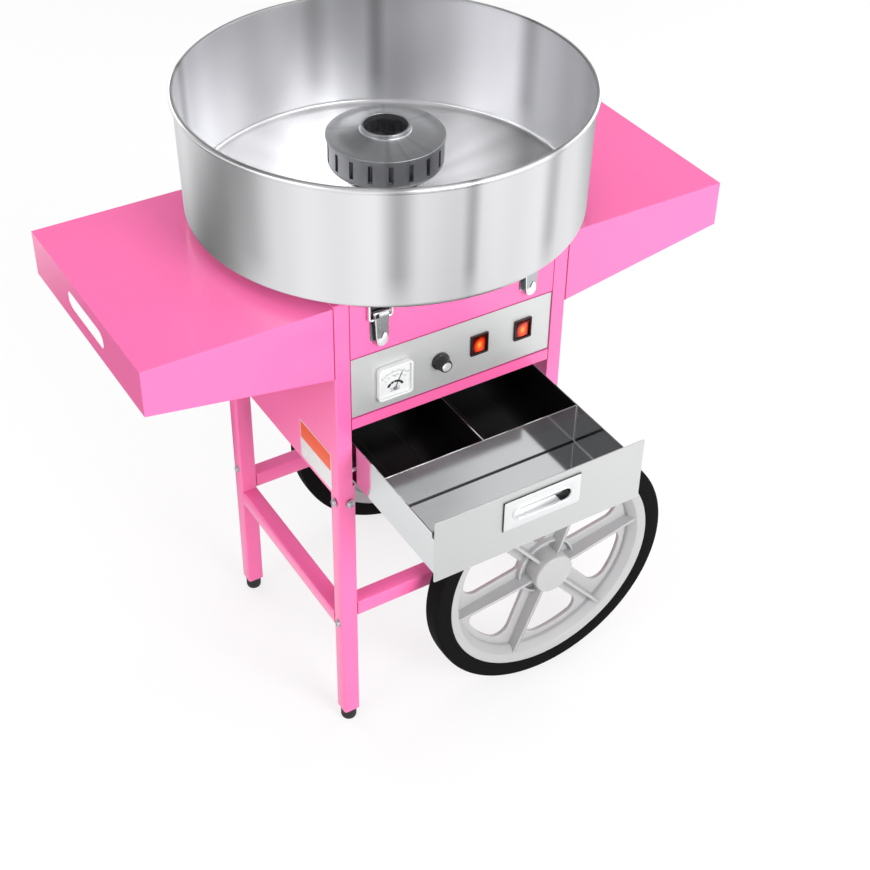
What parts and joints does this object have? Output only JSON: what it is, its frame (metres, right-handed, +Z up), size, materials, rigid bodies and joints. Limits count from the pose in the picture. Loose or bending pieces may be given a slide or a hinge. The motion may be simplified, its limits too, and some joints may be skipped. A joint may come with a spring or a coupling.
{
  "type": "cotton candy machine",
  "caption": "Electric cotton candy machine on a two-wheeled cart, with a spun bowl, spinner head, control panel, sliding drawer and two side wings.",
  "frame": {"origin": "on the floor, under the middle of the whole object's box with the drawer pulled out as pictured", "axes": "+Z up, +Y towards the machine's back, +X towards the end with the wheels; the controls and the drawer face -Y"},
  "size_m": [0.839, 0.6522, 0.926],
  "materials": {
    "pink_paint": "gloss powder coat",
    "bowl_steel": "spun, satin",
    "panel_steel": "brushed",
    "drawer_steel": "mirror polished",
    "zinc_steel": "zinc plated",
    "latch_chrome": "bright plate",
    "cast_aluminium": "machined casting",
    "motor_enamel": "black enamel",
    "black_rubber": "matte",
    "tyre_rubber": "matte",
    "grey_plastic": "moulded, fine grain",
    "black_plastic": "semi-gloss",
    "white_plastic": "gloss",
    "switch_amber": "lit translucent"
  },
  "bodies": {
    "cart": {"leg_left_front": "pink_paint", "leg_left_rear": "pink_paint", "leg_right_front": "pink_paint", "leg_right_rear": "pink_paint", "rail_front": "pink_paint", "rail_rear": "pink_paint", "brace_left": "pink_paint", "brace_right": "pink_paint", "foot_front": "black_rubber", "foot_rear": "black_rubber", "axle": "zinc_steel", "axle_bracket_front": "pink_paint", "axle_bracket_rear": "pink_paint", "side_panel_left": "pink_paint", "side_panel_right": "pink_paint", "front_upper_plate": "pink_paint", "drawer_lintel": "pink_paint", "rear_panel": "pink_paint", "deck_plate": "pink_paint", "machine_shelf": "zinc_steel", "control_panel": "panel_steel", "voltmeter": "white_plastic", "switch_frame_left": "black_plastic", "switch_frame_right": "black_plastic", "wing_left": "pink_paint", "wing_right": "pink_paint", "bowl": "bowl_steel", "bearing_housing": "cast_aluminium", "motor": "motor_enamel", "drive_belt": "black_rubber", "brush_holder": "black_plastic", "latch_base_left": "latch_chrome", "latch_base_right": "latch_chrome", "latch_catch_left": "latch_chrome", "latch_catch_right": "latch_chrome", "drawer_runner_left": "zinc_steel", "drawer_runner_right": "zinc_steel", "power_inlet": "black_plastic"},
    "drawer": {"drawer_front": "panel_steel", "drawer_box": "drawer_steel", "drawer_partition": "drawer_steel", "drawer_pull": "drawer_steel"},
    "wheel_front": {"wheel_rim_front": "grey_plastic", "tyre_front": "tyre_rubber"},
    "wheel_rear": {"wheel_rim_rear": "grey_plastic", "tyre_rear": "tyre_rubber"},
    "spinner": {"spinner_shaft": "zinc_steel", "spinner_pulley": "cast_aluminium", "spinner_base": "cast_aluminium", "spinner_lid": "cast_aluminium"},
    "motor_rotor": {"motor_pulley": "cast_aluminium"},
    "needle": {"meter_needle": "black_plastic"},
    "knob": {"heat_knob": "black_plastic"},
    "rocker_left": {"switch_rocker_left": "switch_amber"},
    "rocker_right": {"switch_rocker_right": "switch_amber"},
    "lever_left": {"latch_lever_left": "latch_chrome"},
    "lever_right": {"latch_lever_right": "latch_chrome"},
    "bail_left": {"latch_bail_left": "latch_chrome"},
    "bail_right": {"latch_bail_right": "latch_chrome"}
  },
  "joints": [
    {"name": "drawer_slide", "type": "slide", "parent": "cart", "child": "drawer", "axis": [0, 1, 0], "range_m": [-0.03, 0.207]},
    {"name": "wheel_front_spin", "type": "hinge", "parent": "cart", "child": "wheel_front", "pos_m": [0.148, -0.149, 0.198], "axis": [0, 1, 0], "continuous": true},
    {"name": "wheel_rear_spin", "type": "hinge", "parent": "cart", "child": "wheel_rear", "pos_m": [0.148, 0.267, 0.198], "axis": [0, 1, 0], "continuous": true},
    {"name": "spinner_spin", "type": "hinge", "parent": "cart", "child": "spinner", "pos_m": [0, 0.05905, 0.7], "axis": [0, 0, 1], "continuous": true},
    {"name": "motor_spin", "type": "hinge", "parent": "cart", "child": "motor_rotor", "pos_m": [0.104, 0.14305, 0.634], "axis": [0, 0, 1], "continuous": true},
    {"name": "needle_swing", "type": "hinge", "parent": "cart", "child": "needle", "pos_m": [-0.089, -0.11705, 0.5975], "axis": [0, 1, 0], "range_deg": [-69, 21], "stiffness_Nm_per_rad": 0.0005},
    {"name": "knob_turn", "type": "hinge", "parent": "cart", "child": "knob", "pos_m": [-0.02, -0.11275, 0.612], "axis": [0, 1, 0], "range_deg": [-140, 140]},
    {"name": "rocker_left_tilt", "type": "hinge", "parent": "cart", "child": "rocker_left", "pos_m": [0.039, -0.11125, 0.617], "axis": [1, 0, 0], "range_deg": [-14, 0]},
    {"name": "rocker_right_tilt", "type": "hinge", "parent": "cart", "child": "rocker_right", "pos_m": [0.1065, -0.11125, 0.617], "axis": [1, 0, 0], "range_deg": [-14, 0]},
    {"name": "lever_left_turn", "type": "hinge", "parent": "cart", "child": "lever_left", "pos_m": [-0.11, -0.11845, 0.722], "axis": [-1, 0, 0], "range_deg": [0, 110]},
    {"name": "lever_right_turn", "type": "hinge", "parent": "cart", "child": "lever_right", "pos_m": [0.11, -0.11845, 0.722], "axis": [-1, 0, 0], "range_deg": [0, 110]},
    {"name": "bail_left_turn", "type": "hinge", "parent": "lever_left", "child": "bail_left", "pos_m": [-0.11, -0.11845, 0.714], "axis": [-1, 0, 0], "range_deg": [-147, 0]},
    {"name": "bail_right_turn", "type": "hinge", "parent": "lever_right", "child": "bail_right", "pos_m": [0.11, -0.11845, 0.714], "axis": [-1, 0, 0], "range_deg": [-147, 0]}
  ],
  "couplings": [
    {"joint": "motor_spin", "follows": "spinner_spin", "ratio": 1.5319},
    {"joint": "bail_left_turn", "follows": "lever_left_turn", "ratio": -1.3333},
    {"joint": "bail_right_turn", "follows": "lever_right_turn", "ratio": -1.3333}
  ]
}
